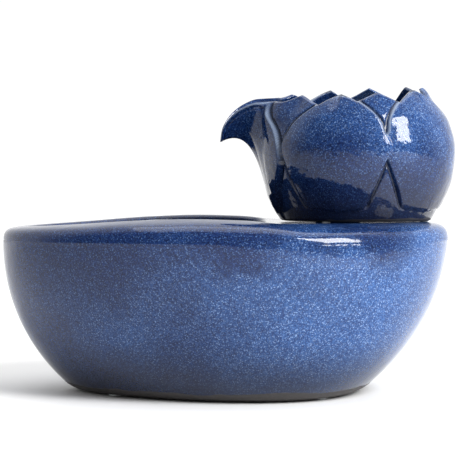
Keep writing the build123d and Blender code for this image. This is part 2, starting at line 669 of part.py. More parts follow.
def outlet_fitting():
    """The flanged, threaded tube through the bowl's floor, with a tail for the hose."""
    flange_z = BOWL_FLOOR_Z + BOWL_FLOOR + WASHER
    body = post(NOZZLE_X, 0, OUTLET_FLANGE_RADIUS, flange_z, flange_z + OUTLET_FLANGE)
    body = body + post(NOZZLE_X, 0, OUTLET_THREAD_RADIUS, OUTLET_THREAD_Z, flange_z + 2 * OUTLET_FLANGE)
    body = body + post(NOZZLE_X, 0, OUTLET_TAIL_RADIUS, OUTLET_TAIL_Z, OUTLET_THREAD_Z)
    return body - post(NOZZLE_X, 0, OUTLET_BORE, OUTLET_TAIL_Z - CUT, flange_z + 3 * OUTLET_FLANGE)


def outlet_nut():
    nut_z = BOWL_FLOOR_Z - WASHER - NUT_HEIGHT
    hexagon = RegularPolygon(NUT_ACROSS / 2, 6, major_radius=False)
    body = extrude(Plane.XY.offset(nut_z) * Pos(NOZZLE_X, 0) * hexagon, amount=NUT_HEIGHT)
    return body - post(NOZZLE_X, 0, OUTLET_THREAD_RADIUS, nut_z - CUT, nut_z + NUT_HEIGHT + CUT)


def outlet_cap():
    """A domed cap with side slots that spreads the water in the bowl."""
    base_z = BOWL_FLOOR_Z + BOWL_FLOOR + WASHER + OUTLET_FLANGE
    body = post(NOZZLE_X, 0, CAP_RADIUS, base_z, base_z + CAP_HEIGHT)
    body = fillet(body.edges().sort_by(Axis.Z)[-1], CAP_RADIUS / 2)
    inside = CAP_RADIUS - CAP_WALL
    body = body - post(NOZZLE_X, 0, inside, base_z - CUT, base_z + CAP_HEIGHT - 2 * CAP_WALL)
    slot_z = (base_z + CAP_WALL, base_z + CAP_HEIGHT / 2)
    for step in range(CAP_SLOT_COUNT):
        slot = block((0, 2 * CAP_RADIUS), (-CAP_SLOT / 2, CAP_SLOT / 2), slot_z)
        body = body - Pos(NOZZLE_X, 0) * slot.rotate(Axis.Z, 360 * step / CAP_SLOT_COUNT)
    return body


def riser_hose():
    """The hose from the pump's nozzle to the bowl, gripped by the outlet's tail."""
    body = post(NOZZLE_X, 0, HOSE_RADIUS, HOSE_BASE_Z, HOSE_TOP_Z)
    body = body - post(NOZZLE_X, 0, NOZZLE_RADIUS + RUNNING_GAP, HOSE_BASE_Z - CUT, OUTLET_TAIL_Z)
    return body - post(NOZZLE_X, 0, OUTLET_TAIL_RADIUS, OUTLET_TAIL_Z - CUT, HOSE_TOP_Z + CUT)


def main():
    os.makedirs("parts", exist_ok=True)
    basin = fired_basin()
    save(basin - deck_zone(), "basin")
    save(basin & deck_zone(), "basin_deck")
    save(foot_pads(), "foot_pads")
    save(cord_grommet(), "cord_grommet")
    save(deck_grommet(), "deck_grommet")
    save(pump_housing(), "pump_housing")
    save(stator_core(), "stator_core")
    save(coil_bobbin(), "coil_bobbin")
    save(stator_coil(), "stator_coil")
    save(potting_resin(), "potting_resin")
    save(cable_gland(), "cable_gland")
    save(rear_bush(), "rear_bush")
    save(front_bush(), "front_bush")
    save(rotor_shaft(), "rotor_shaft")
    save(volute_cover(), "volute_cover")
    save(volute_seal(), "volute_seal")
    save(suction_cups(), "suction_cups")
    save(rotor_magnet(), "rotor_magnet")
    save(impeller(), "impeller")
    save(intake_cover(), "intake_cover")
    save(prefilter_sponge(), "prefilter_sponge")
    save(flow_dial(), "flow_dial")
    save(lotus_bowl(), "lotus_bowl")
    save(bowl_pads(), "bowl_pads")
    save(outlet_fitting(), "outlet_fitting")
    save(outlet_nut(), "outlet_nut")
    save(outlet_washer(BOWL_FLOOR_Z + BOWL_FLOOR), "upper_washer")
    save(outlet_washer(BOWL_FLOOR_Z - WASHER), "lower_washer")
    save(outlet_cap(), "outlet_cap")
    save(riser_hose(), "riser_hose")


main()
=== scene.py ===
import json
from math import cos, exp, pi, sin, sqrt

import bpy
import numpy as np
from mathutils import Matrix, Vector


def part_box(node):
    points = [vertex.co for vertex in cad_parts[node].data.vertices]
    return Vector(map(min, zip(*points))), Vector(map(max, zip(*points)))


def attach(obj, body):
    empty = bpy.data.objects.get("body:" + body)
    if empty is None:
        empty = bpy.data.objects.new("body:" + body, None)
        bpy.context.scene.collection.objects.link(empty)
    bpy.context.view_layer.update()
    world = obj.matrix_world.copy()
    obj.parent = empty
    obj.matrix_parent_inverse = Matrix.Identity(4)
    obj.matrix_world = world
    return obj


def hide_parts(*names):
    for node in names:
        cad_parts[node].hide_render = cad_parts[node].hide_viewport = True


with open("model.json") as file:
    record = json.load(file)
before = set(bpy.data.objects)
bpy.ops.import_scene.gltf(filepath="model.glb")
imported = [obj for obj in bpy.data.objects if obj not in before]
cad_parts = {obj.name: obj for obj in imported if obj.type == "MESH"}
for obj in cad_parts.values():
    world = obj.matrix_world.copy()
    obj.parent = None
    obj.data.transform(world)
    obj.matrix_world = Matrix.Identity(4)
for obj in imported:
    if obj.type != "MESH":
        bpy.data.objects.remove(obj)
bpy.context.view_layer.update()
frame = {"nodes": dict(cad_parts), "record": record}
MM = 0.001

# The fountain's own directions: the camera looks along +Y, and the beak points along -X.
BASIN_LOW, BASIN_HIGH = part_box("basin")
BOWL_LOW, BOWL_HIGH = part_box("lotus_bowl")

# Basin, in millimetres: the same egg sections as the frame's basin
END_GAP = 0.2  # how far each end stops short of the frame's basin
BASIN_HALF_LENGTH = (BASIN_HIGH.x - BASIN_LOW.x) / 2 / MM - END_GAP
BASIN_HALF_WIDTH = 99.0
BASIN_CENTRE_X = (BASIN_HIGH.x + BASIN_LOW.x) / 2 / MM
BELLY_Z = 90.0  # height of the widest section
BELLY_DROP = 117.0  # half height of the arc that the side follows
BELLY_BLUNTNESS = 0.08  # how much wider the deck end is than the pool end, at the belly
FOOT_BLUNTNESS = 0.28  # the same, at the foot
FOOT_SHIFT = 5.0  # how far the foot sits towards the pool end
FOOT_Z = BASIN_LOW.z / MM
FOOT_EDGE_RADIUS = 4.0
FOOT_RING_WIDTH = 14.0
FOOT_RECESS = 3.0
# The foot ring's underside: how far in from the outline, and how far above the foot
FOOT_RING = ((14.4, 2.7), (14.0, 2.0), (13.8, 0.5), (13.2, 0.0), (9.0, 0.0), (5.0, 0.0))
WALL = 5.5
WALL_GAIN = 3.0  # extra level thickness of the wall at the foot
WALL_TOP_Z = BELLY_Z - 4.0  # where the wall turns over into the rim
FLOOR_Z = 10.0
FLOOR_CORNER = 6.0  # radius between the pool's wall and its floor
FLOOR_INSET = 8.2  # from the outline in to the pool's wall, where that radius starts
DECK_Z = 97.0
DECK_BACK_Z = 90.5
DECK_EDGE_X = 20.0
DECK_DIP = 0.25  # how far the rim and the deck fall towards the pool's mouth
MOUTH_RADIUS = 3.5  # of the mouth's upper edge
MOUTH_BACK_RISE = 2.5  # height of the mouth's lower edge
MOUTH_BACK_REACH = 2.0  # how far that edge leans back under the deck
MOUTH_SHARPNESS = 9.0  # of the corners where the deck's edge meets the rim
RIM_LINE_X = [-130.0, -121.0, -90.0, -48.0, -20.0, 8.0, 30.0, 130.0]
RIM_LINE_Z = [94.0, 94.4, 96.1, 98.9, 99.7, 99.0, 97.2, 97.0]
RIM_INSET_SIDE = 22.0  # from the widest outline in to the rim's crest, at the front and back
RIM_INSET_END = 9.5  # the same, at the pool end
DECK_INSET_END = 12.0  # the same, at the deck end
RIM_OUT = (1.0, 0.32, 0.0, 0.0)  # Bezier weights of the rim's section, across
RIM_DOWN = (0.0, 2.2, 3.6, 0.0)  # the same, down from the crest
RIM_LEAST = 0.42  # how much of its roundness the rim keeps where it is narrowest
HOSE_HOLE_RADIUS = 9.0
CORD_HOLE_RADIUS = 5.0
CORD_SEAT_RADIUS = 8.5
CORD_SEAT_Y = 91.5  # flat seat of the cord's grommet, in the outside of the wall
POLE_X = -42.0  # every ring of the basin's mesh goes round this point
RAYS = 360
OUTLINE_POINTS = 2880
CUT = 30.0  # length of the drills, through the walls and past them
DRILL_SIDES = 96

# Lotus bowl, in millimetres above its own foot
BOWL_X = 73.5
BOWL_FOOT_Z = BOWL_LOW.z / MM
LOBE_PROFILE_Z = [0.0, 10.0, 25.0, 41.0, 56.0, 68.0, 80.0]
LOBE_PROFILE_R = [44.0, 49.8, 55.0, 56.4, 53.2, 46.2, 37.5]
CORE_PROFILE_R = [42.6, 47.2, 51.8, 53.3, 50.4, 43.8, 36.0]
BOWL_WALL = 4.8
RIM_LEAN = 4.0  # how much lower the petals' tips are at the front left than at the back right
RIM_LEAN_TURN = 30.0
LIP_BULGE = 0.9  # roundness of the bowl's lip
BOWL_RECESS_RADII = (8.0, 20.0, 33.5)
BOWL_FOOT_INNER = 35.0
BOWL_FOOT_OUTER = 41.2
BOWL_FLOOR_CORNER = 6.0
OUTLET_HOLE_RADIUS = 6.5
SHOULDER_Z = 14.5
BOWL_RAYS = 600
LOW_RINGS = 22
HIGH_RINGS = 120
LIP_RINGS = 7
LIP_BLEND_RINGS = 14
FOOT_RINGS = 7  # the rings under the foot
FIRST_SHEET_ROW = FOOT_RINGS + LOW_RINGS  # the first ring of points above the shoulder

# Places in metres where the glaze changes from a shaded copy of its colours to a lit copy, along X and along
# Z: painted shade to the left and painted light to the right, and how much the heights rise along X
BASIN_PAINTED_LIGHT = {"x": (-0.14, 0.125), "z": (0.096, 0.066), "lean": 0.12}
LOTUS_PAINTED_LIGHT = {"x": (-0.02, 0.20), "z": (0.110, 0.158), "lean": 0.0}
BASIN_BARE = 0.0045  # height of the bare clay above the foot, in metres
LOTUS_BARE = 0.001


def smooth(low, high, value):
    step = np.clip((value - low) / (high - low), 0.0, 1.0)
    return step * step * (3 - 2 * step)


def curve_through(xs, ys, at):
    """A smooth curve through points, with slopes that don't overshoot."""
    xs = np.asarray(xs, float)
    ys = np.asarray(ys, float)
    gaps = np.diff(xs)
    slopes = np.diff(ys) / gaps
    inner = np.where(
        slopes[:-1] * slopes[1:] > 0,
        2 * slopes[:-1] * slopes[1:] / np.where(slopes[:-1] + slopes[1:] == 0, 1, slopes[:-1] + slopes[1:]),
        0.0,
    )
    tangents = np.concatenate([[slopes[0]], inner, [slopes[-1]]])
    at = np.clip(np.asarray(at, float), xs[0], xs[-1])
    cell = np.clip(np.searchsorted(xs, at) - 1, 0, len(gaps) - 1)
    t = (at - xs[cell]) / gaps[cell]
    start = ys[cell] * (1 + 2 * t) * (1 - t) ** 2 + gaps[cell] * tangents[cell] * t * (1 - t) ** 2
    end = ys[cell + 1] * t * t * (3 - 2 * t) + gaps[cell] * tangents[cell + 1] * t * t * (t - 1)
    return start + end


def quarter(first, count):
    """Angles of a quarter turn, from a first share of it to its end."""
    return np.linspace(first, 1.0, count) * pi / 2


def bezier(points, t):
    a, b, c, d = points
    return a * (1 - t) ** 3 + 3 * b * t * (1 - t) ** 2 + 3 * c * t * t * (1 - t) + d * t**3


def ring_mesh(name, rings):
    """A closed mesh from rings of points, each ring an array of (x, y, z) in millimetres."""
    count = len(rings[0])
    points = np.concatenate(rings) * MM
    faces = []
    for row in range(len(rings) - 1):
        for step in range(count):
            after = (step + 1) % count
            low = row * count
            high = low + count
            faces.append((low + step, low + after, high + after, high + step))
    points = points.tolist()
    points.append(np.mean(rings[0], axis=0) * MM)
    faces += [(len(points) - 1, (step + 1) % count, step) for step in range(count)]
    points.append(np.mean(rings[-1], axis=0) * MM)
    last = (len(rings) - 1) * count
    faces += [(len(points) - 1, last + step, last + (step + 1) % count) for step in range(count)]
    mesh = bpy.data.meshes.new(name)
    mesh.from_pydata([tuple(point) for point in points], [], faces)
    mesh.validate()
    mesh.polygons.foreach_set("use_smooth", [True] * len(mesh.polygons))
    mesh.update()
    piece = bpy.data.objects.new(name, mesh)
    bpy.context.scene.collection.objects.link(piece)
    return piece


def drill(piece, x, y, z, radius, axis, length):
    """Cuts a round hole through a piece and applies the cut."""
    bpy.ops.mesh.primitive_cylinder_add(vertices=DRILL_SIDES, radius=radius * MM, depth=length * MM)
    cutter = bpy.context.object
    cutter.location = (x * MM, y * MM, z * MM)
    if axis == "Y":
        cutter.rotation_euler = (pi / 2, 0, 0)
    bpy.context.view_layer.update()
    cut = piece.modifiers.new("hole", "BOOLEAN")
    cut.object = cutter
    cut.operation = "DIFFERENCE"
    cut.solver = "EXACT"
    bpy.context.view_layer.objects.active = piece
    bpy.ops.object.modifier_apply(modifier=cut.name)
    bpy.data.objects.remove(cutter)


# ---------------------------------------------------------------- basin


def egg_outline(z, inset_x=0.0, inset_y=0.0, deck_inset_x=None):
    """Points of the basin's level section at a height, moved in."""
    turn = np.linspace(0, 2 * pi, OUTLINE_POINTS, endpoint=False)
    arc = sqrt(max(0.0, 1 - ((BELLY_Z - z) / BELLY_DROP) ** 2))
    low = max(0.0, 1 - z / BELLY_Z)
    bluntness = BELLY_BLUNTNESS + (FOOT_BLUNTNESS - BELLY_BLUNTNESS) * low
    end_inset = np.where(np.cos(turn) > 0, inset_x if deck_inset_x is None else deck_inset_x, inset_x)
    side = (BASIN_HALF_WIDTH * arc - inset_y) * np.sin(turn) * (1 + bluntness * np.cos(turn))
    x = BASIN_CENTRE_X - FOOT_SHIFT * low + (BASIN_HALF_LENGTH * arc - end_inset) * np.cos(turn)
    return x, side


def rays():
    return np.linspace(-pi, pi, RAYS, endpoint=False)


def reach(outline):
    """How far an outline is from the pole along each ray."""
    x, y = outline
    angle = np.arctan2(y, x - POLE_X)
    distance = np.hypot(x - POLE_X, y)
    order = np.argsort(angle)
    angle, distance = angle[order], distance[order]
    angle = np.concatenate([angle[-8:] - 2 * pi, angle, angle[:8] + 2 * pi])
    distance = np.concatenate([distance[-8:], distance, distance[:8]])
    return np.interp(rays(), angle, distance)


def ring(distance, z):
    angle = rays()
    x = POLE_X + distance * np.cos(angle)
    y = distance * np.sin(angle)
    return np.stack([x, y, np.broadcast_to(z, x.shape)], axis=1)


def rim_z(distance):
    return curve_through(RIM_LINE_X, RIM_LINE_Z, POLE_X + distance * np.cos(rays()))


def mouth_reach(crest, edge_x):
    """The pool's mouth: the crest outline, cut straight along the deck's edge with round corners."""
    angle = rays()
    ahead = np.cos(angle)
    least, far = 0.05, 1e6
    straight = np.where(ahead > least, (edge_x - POLE_X) / np.maximum(ahead, least), far)
    return (crest**-MOUTH_SHARPNESS + straight**-MOUTH_SHARPNESS) ** (-1 / MOUTH_SHARPNESS)


def under_basin():
    """Rings from the middle of the underside to the top of the foot's rounded edge."""
    recess = reach(egg_outline(FOOT_Z, FOOT_RING_WIDTH, FOOT_RING_WIDTH))
    rings = [ring(recess * share, FOOT_Z + FOOT_RECESS) for share in (0.15, 0.4, 0.65, 0.85, 0.97)]
    for inset, rise in FOOT_RING:
        rings.append(ring(reach(egg_outline(FOOT_Z, inset, inset)), FOOT_Z + rise))
    for bend in quarter(0.15, 7):
        z = FOOT_Z + FOOT_EDGE_RADIUS * (1 - cos(bend))
        inset = FOOT_EDGE_RADIUS * (1 - sin(bend))
        rings.append(ring(reach(egg_outline(z, inset, inset)), z))
    return rings


def over_basin(crest):
    """Rings up the wall and over the rim to its crest."""
    rings = []
    start_z = FOOT_Z + FOOT_EDGE_RADIUS
    for step in np.linspace(0.02, 1.0, 56):
        z = start_z + (WALL_TOP_Z - start_z) * step
        rings.append(ring(reach(egg_outline(z)), z))
    wall_top = reach(egg_outline(BELLY_Z))
    top = rim_z(crest)
    width = wall_top - crest
    gentle = np.clip(width / RIM_INSET_SIDE, RIM_LEAST, 1.0)
    fall = top - WALL_TOP_Z
    for t in np.linspace(0.97, 0.0, 44):
        down = bezier(RIM_DOWN, t) * gentle + fall * t**3
        rings.append(ring(wall_top - width * bezier(RIM_OUT, t), top - down))
    return rings


def into_mouth(crest):
    """Rings across the rim's top and the deck, through the pool's mouth and under the deck."""
    rings = []
    mouth = mouth_reach(crest - MOUTH_RADIUS, DECK_EDGE_X + MOUTH_RADIUS)
    for step in (0.12, 0.3, 0.5, 0.7, 0.88, 1.0):
        distance = crest - (crest - mouth) * step
        rings.append(ring(distance, rim_z(distance) - DECK_DIP * step))
    edge_z = rim_z(mouth) - DECK_DIP
    for bend in quarter(0.12, 8):
        rings.append(ring(mouth - MOUTH_RADIUS * sin(bend), edge_z - MOUTH_RADIUS * (1 - cos(bend))))
    inner = mouth - MOUTH_RADIUS
    back_z = DECK_BACK_Z + MOUTH_BACK_RISE
    rings.append(ring(inner, back_z + 0 * inner))
    for bend in quarter(0.2, 4):
        rings.append(ring(inner + MOUTH_BACK_REACH * (1 - cos(bend)), back_z - MOUTH_BACK_RISE * sin(bend)))
    lip = inner + MOUTH_BACK_REACH
    cavity_top = reach(egg_outline(DECK_BACK_Z, WALL, WALL))
    for share in (0.3, 0.6, 0.85, 0.96):
        rings.append(ring(lip + (cavity_top - lip) * share, DECK_BACK_Z))
    return rings


def inside_basin():
    """Rings down the pool's wall and across its floor."""
    rings = []
    for z in np.linspace(DECK_BACK_Z - 1.5, FLOOR_Z + FLOOR_CORNER, 28):
        inset = WALL + WALL_GAIN * max(0.0, 1 - z / BELLY_Z)
        rings.append(ring(reach(egg_outline(z, inset, inset)), z))
    for bend in quarter(0.15, 6):
        z = FLOOR_Z + FLOOR_CORNER * (1 - sin(bend))
        inset = FLOOR_INSET + FLOOR_CORNER * (1 - cos(bend))
        rings.append(ring(reach(egg_outline(z, inset, inset)), z))
    inset = FLOOR_INSET + FLOOR_CORNER
    floor = reach(egg_outline(FLOOR_Z, inset, inset))
    rings += [ring(floor * share, FLOOR_Z) for share in (0.85, 0.6, 0.35, 0.15)]
    return rings


def basin_rings():
    crest = reach(egg_outline(BELLY_Z, RIM_INSET_END, RIM_INSET_SIDE, DECK_INSET_END))
    return under_basin() + over_basin(crest) + into_mouth(crest) + inside_basin()


def finish_fired(piece, look):
    """Smooths a fired piece and gives it its glaze."""
    for polygon in piece.data.polygons:
        polygon.use_smooth = True
    piece.data.materials.clear()
    piece.data.materials.append(look)


def make_basin():
    piece = ring_mesh("basin_body", basin_rings())
    hose_low, hose_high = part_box("deck_grommet")
    cord_low, cord_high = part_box("cord_grommet")
    hose = (hose_low + hose_high) / 2 / MM
    cord = (cord_low + cord_high) / 2 / MM
    drill(piece, hose.x, hose.y, DECK_Z - 3, HOSE_HOLE_RADIUS, "Z", CUT)
    drill(piece, cord.x, cord.y, cord.z, CORD_HOLE_RADIUS, "Y", CUT + 10)
    drill(piece, cord.x, CORD_SEAT_Y + CUT / 2, cord.z, CORD_SEAT_RADIUS, "Y", CUT)
    finish_fired(piece, glaze("basin_glaze", FOOT_Z * MM, BASIN_BARE, BASIN_PAINTED_LIGHT))
    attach(piece, "fountain")
    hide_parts("basin", "basin_deck")
    return piece


# ---------------------------------------------------------------- lotus bowl

# Half angle of an outer lobe at heights above the foot, as a share of its widest
SPAN_Z = [5.5, 7.5, 12.5, 24.0, 34.0, 40.0, 46.5, 50.0, 55.0, 60.0, 65.0, 70.0, 72.5]
LOBE_SPAN = [0.0, 0.60, 0.70, 0.87, 1.0, 1.09, 1.03, 0.96, 0.90, 0.78, 0.60, 0.33, 0.0]
BEAK_SPAN = [15.0, 17.0, 21.0, 30.0, 34.0, 33.5, 31.0, 29.0, 25.0, 20.5, 18.2, 17.6, 17.5]
# The outer lobes: the angle of the middle, the half angles to its left and right, and the angle of the tip
LOBES = [
    (-19.5, 34.0, 33.0, -16.5),
    (51.0, 37.5, 35.5, 47.0),
    (122.5, 36.0, 36.0, 122.5),
    (200.0, 36.5, 36.0, 201.0),
]
INNER_MIDDLES = [-51.5, 11.5, 86.5, 164.0, -120.0]
BEAK_MIDDLE = -90.0
MERGE_Z = 44.0  # above this a lobe's outline is stretched to reach its petal's tip
TIP_TURN_Z = (46.0, 66.0)  # where a lobe's middle turns over to its tip's angle
# How far the outline of a petal falls below its tip, by the angle from its middle
OUTER_FALL_ANGLE = [0.0, 6.0, 12.0, 18.0, 25.5, 31.0, 36.0]
OUTER_FALL = [0.0, 1.8, 4.2, 7.2, 13.0, 20.0, 30.0]
INNER_FALL = [0.0, 1.9, 4.0, 6.0, 9.0, 14.0, 22.0]
FALL_PAST = 3.0  # how much it falls with each degree past those
LOWEST_RIM_Z = 150.0
LOBE_EDGE = 1.1  # width of the step from the bulb up to a lobe
LOBE_ROLL = 30.0  # how far in from its outline a lobe starts to roll down
LEFT_ROLL = 2.2  # how deep it rolls down on its left
RIGHT_ROLL = 0.5
GROOVE = 1.0  # depth of the groove round each lobe
GROOVE_WIDTH = 0.9
BEAK_HALF = 17.5  # half angle of the beak
BEAK_EDGE_SHARE = [0.0, 0.16, 0.36, 0.58, 0.78, 1.0]
BEAK_EDGE_X = [-5.3, -4.4, 0.2, 7.9, 14.6, 21.2]
BEAK_EDGE_Y = [0.0, 4.0, 9.0, 13.0, 15.2, 16.4]
BEAK_EDGE_Z = [142.6, 149.0, 157.0, 163.0, 165.6, 166.3]
FLARE = 8.0  # how far the petals beside the beak lean out at the rim
FLARE_FAR, FLARE_NEAR = 44.0, 14.0  # angles from the beak between which that fades
FLARE_OUTSIDE_Z, FLARE_INSIDE_Z = 140.0, 138.0  # where it starts on the two sides of the wall
FLARE_TOP_Z = 166.0
CORE_DEPTH = 1.2  # how much thinner the wall is under the grooves
FOOT_PINCH = 1.2  # how far the bulb draws in at its foot
PINCH_HEIGHT = 0.8
SIDE_SPREAD = 7.5  # how far the beak's sides swell out from the foot
BEAK_REACH = 66.0  # length of the beak's side from the foot to its edge
BEAK_BAND = 3.6  # how far the raised band is from the beak's edge
BAND_WIDTH = 1.1
BAND_HEIGHT = 0.9
# Shares of the beak's half angle: from where its shape counts as its tip's, as its side's, and as the bulb's,
# and between which the rim beside it runs up to it
TIP_SHARE, SIDE_SHARE, BLEND_SHARE = 0.75, 0.55, 0.78
BESIDE_BEAK = (2.1, 0.9)
TIP_LIP, SIDE_LIP = 1.0, 1.6  # what the lip's thickness gains at the beak's tip, and more at its sides
BEAK_LEAN = 0.11  # rise of the beak's edge towards the back
BEAK_RISE = 30.0  # how far the beak's curves first go straight up
# The direction in which the curves arrive at the beak's edge
SIDE_OUT = (-0.30, 0.75, 0.80)
SIDE_UP = (-0.10, 0.15, 0.98)
# The same at the beak's tip, how far before the edge the curves turn to it, and how far they
# lean forward and up on the way
BEAK_OUTSIDE = {"tip_way": (-0.886, 0.0, -0.463), "pull": 14.7, "forward": -6.8, "lift": 0.0}
BEAK_INSIDE = {"tip_way": (-0.86, 0.0, -0.56), "pull": 13.0, "forward": -2.0, "lift": 4.5}


def wrap(angle):
    return (angle + 180.0) % 360.0 - 180.0


def view_angle(turn):
    """The angle of a direction from the front, positive to the right, in degrees."""
    return wrap(np.degrees(turn) + 90.0)


def tip_z(angle):
    """Height of a petal's tip above the floor, for a rim that leans a little."""
    return BOWL_HIGH.z / MM - LIP_BULGE - RIM_LEAN - RIM_LEAN * np.cos(np.radians(angle + RIM_LEAN_TURN))


def bowl_rim(angle):
    """Height of the bowl's edge at each angle: the highest petal outline there."""
    height = np.full(angle.shape, LOWEST_RIM_Z)
    for middles, falls in (([lobe[3] for lobe in LOBES], OUTER_FALL), (INNER_MIDDLES, INNER_FALL)):
        for middle in middles:
            off = np.abs(wrap(angle - middle))
            past_petal = np.maximum(0, off - OUTER_FALL_ANGLE[-1])
            fall = curve_through(OUTER_FALL_ANGLE, falls, off) + FALL_PAST * past_petal
            height = np.maximum(height, tip_z(middle) - fall)
    share = beak_share(angle)
    side = -np.sign(wrap(angle - BEAK_MIDDLE))
    edge = curve_through(BEAK_EDGE_SHARE, BEAK_EDGE_Z, share)
    edge = edge + BEAK_LEAN * side * curve_through(BEAK_EDGE_SHARE, BEAK_EDGE_Y, share)
    past = BEAK_EDGE_Z[-1] + BEAK_LEAN * side * BEAK_EDGE_Y[-1]
    beside = smooth(*BESIDE_BEAK, share)
    return np.where(share < 1.0, edge, height * (1 - beside) + past * beside)


def lobe_depths(angle, z):
    """For each lobe: how far inside its outline a point is, in millimetres, and the lobe's surface there."""
    full = curve_through(LOBE_PROFILE_Z, LOBE_PROFILE_R, z)
    found = []
    for middle, left, right, tip in LOBES + [(BEAK_MIDDLE, 1.0, 1.0, BEAK_MIDDLE)]:
        off = wrap(angle - middle - (tip - middle) * smooth(*TIP_TURN_Z, z))
        lean = tip_z(middle) - BOWL_FOOT_Z - SPAN_Z[-1]
        upper = SPAN_Z[-1] - MERGE_Z
        stretched = np.where(z > MERGE_Z, MERGE_Z + (z - MERGE_Z) * upper / (upper + lean), z)
        if middle == BEAK_MIDDLE:
            half = curve_through(SPAN_Z, BEAK_SPAN, z)
        else:
            half = curve_through(SPAN_Z, LOBE_SPAN, stretched) * np.where(off < 0, left, right)
        inside = (half - np.abs(off)) * np.radians(1) * full
        roll = np.clip(1 - inside / LOBE_ROLL, 0, 1) ** 2
        found.append((inside, full - np.where(off < 0, LEFT_ROLL, RIGHT_ROLL) * roll))
    return found


def groove_line_fade(angle, z):
    """How far the dark line in the lobes' grooves, pooled glaze and painted shade, fades out low on the
    beak's side.
    """
    return smooth(-12.0, -32.0, angle) * smooth(27.0, 15.0, z)


def lobe_radius(angle, z):
    """Radius of the bowl's outside, with its lobes, at an angle and a height above the foot."""
    core = curve_through(LOBE_PROFILE_Z, CORE_PROFILE_R, z)
    lobes = lobe_depths(angle, z)
    groove = np.zeros_like(core)
    for inside, _ in lobes:
        groove = np.maximum(groove, np.exp(-(((inside + GROOVE_WIDTH) / GROOVE_WIDTH) ** 2)))
    base = core - GROOVE * groove * smooth(5.0, 9.0, z)
    result = base
    for inside, raised in lobes:
        cover = smooth(-LOBE_EDGE * 0.3, LOBE_EDGE, inside)
        result = np.maximum(result, base + (raised - base) * cover)
    return result


def glaze_marks(angle, z):
    """Where glaze pools dark in the grooves beside the lobes, which also paints the shade there, and where it
    breaks pale over their edges, which also paints a highlight there.
    """
    lobes = lobe_depths(angle, z)
    depth = np.max([inside for inside, _ in lobes], axis=0)
    pooled_glaze_and_shade = np.exp(-(((depth + 0.9) / 1.1) ** 2)) * smooth(6.0, 12.0, z) * (1 - groove_line_fade(angle, z))
    broken_glaze_and_highlight = np.exp(-(((depth - 0.7) / 0.5) ** 2)) * smooth(30.0, 44.0, z)
    return pooled_glaze_and_shade, broken_glaze_and_highlight


def flare(angle, z, start_z):
    """How far the rim beside the beak leans out."""
    off = np.abs(wrap(angle - BEAK_MIDDLE))
    return FLARE * (smooth(FLARE_FAR, FLARE_NEAR, off) * smooth(start_z, FLARE_TOP_Z, z))


def regular_outside(angle, z):
    return lobe_radius(angle, z - BOWL_FOOT_Z) + flare(angle, z, FLARE_OUTSIDE_Z)


def regular_inside(angle, z):
    core = curve_through(LOBE_PROFILE_Z, CORE_PROFILE_R, z - BOWL_FOOT_Z)
    return core - BOWL_WALL + CORE_DEPTH + flare(angle, z, FLARE_INSIDE_Z)


def around(radius, turn, z):
    x = BOWL_X + radius * np.cos(turn)
    return np.stack([x, radius * np.sin(turn), np.broadcast_to(z, radius.shape)], axis=1)


def beak_share(angle):
    """How far an angle is from the beak's middle, as a share of its half angle."""
    return np.abs(wrap(angle - BEAK_MIDDLE)) / BEAK_HALF


def beak_edge(share, side):
    x = curve_through(BEAK_EDGE_SHARE, BEAK_EDGE_X, share)
    y = curve_through(BEAK_EDGE_SHARE, BEAK_EDGE_Y, share) * side
    z = curve_through(BEAK_EDGE_SHARE, BEAK_EDGE_Z, share) + BEAK_LEAN * y
    return np.stack([x, y, z], axis=1)


def beak_curves(turn, start, share, side, form):
    """The four control points of the beak's curve at each angle, from the shoulder to the edge."""
    edge = beak_edge(np.minimum(share, 1.0), side)
    at_tip = smooth(TIP_SHARE, 0.0, share)[:, None]
    at_side = smooth(SIDE_SHARE, 1.0, share)[:, None]
    mirror = np.stack([np.ones_like(side), side, np.ones_like(side)], axis=1)
    out = np.array(SIDE_OUT) * mirror
    side_way = np.array(SIDE_UP) * mirror
    way = out * (1 - at_tip) * (1 - at_side) + np.array(form["tip_way"]) * at_tip + side_way * at_side
    way = way / np.linalg.norm(way, axis=1)[:, None]
    up = np.array([0.0, 0.0, 1.0])
    spread = np.stack([np.cos(turn), np.sin(turn), 0 * turn], axis=1) * SIDE_SPREAD * (1 - at_tip)
    first = start + up * BEAK_RISE + np.array([form["forward"], 0, 0]) * at_tip + spread
    second = edge - way * form["pull"] + up * form["lift"] * at_tip
    return start, first, second, edge


def bowl_sheet(turn, inside):
    """Rings from the shoulder height up to the rim, on the outside or the inside."""
    angle = view_angle(turn)
    regular = regular_inside if inside else regular_outside
    base_z = BOWL_FOOT_Z + SHOULDER_Z
    top = bowl_rim(angle)
    share = beak_share(angle)
    side = np.sign(np.sin(turn))
    in_beak = share < 1.0
    mix = smooth(BLEND_SHARE, 1.0, share)[:, None]
    start = around(regular(angle, np.full(turn.shape, base_z)), turn, base_z)
    curves = beak_curves(turn, start, share, side, BEAK_INSIDE if inside else BEAK_OUTSIDE)
    rings = []
    for t in np.linspace(0, 1, HIGH_RINGS + 1)[1:]:
        z = base_z + (top - base_z) * t
        plain = around(regular(angle, z), turn, z)
        curl = bezier(curves, t)
        if not inside:
            band = exp(-((((1 - t) * BEAK_REACH - BEAK_BAND) / BAND_WIDTH) ** 2))
            curl[:, 1] -= side * band * BAND_HEIGHT * smooth(0.0, 0.25, share)
        mixed = curl * (1 - mix) + plain * mix
        rings.append(np.where(in_beak[:, None], mixed, plain))
    return rings


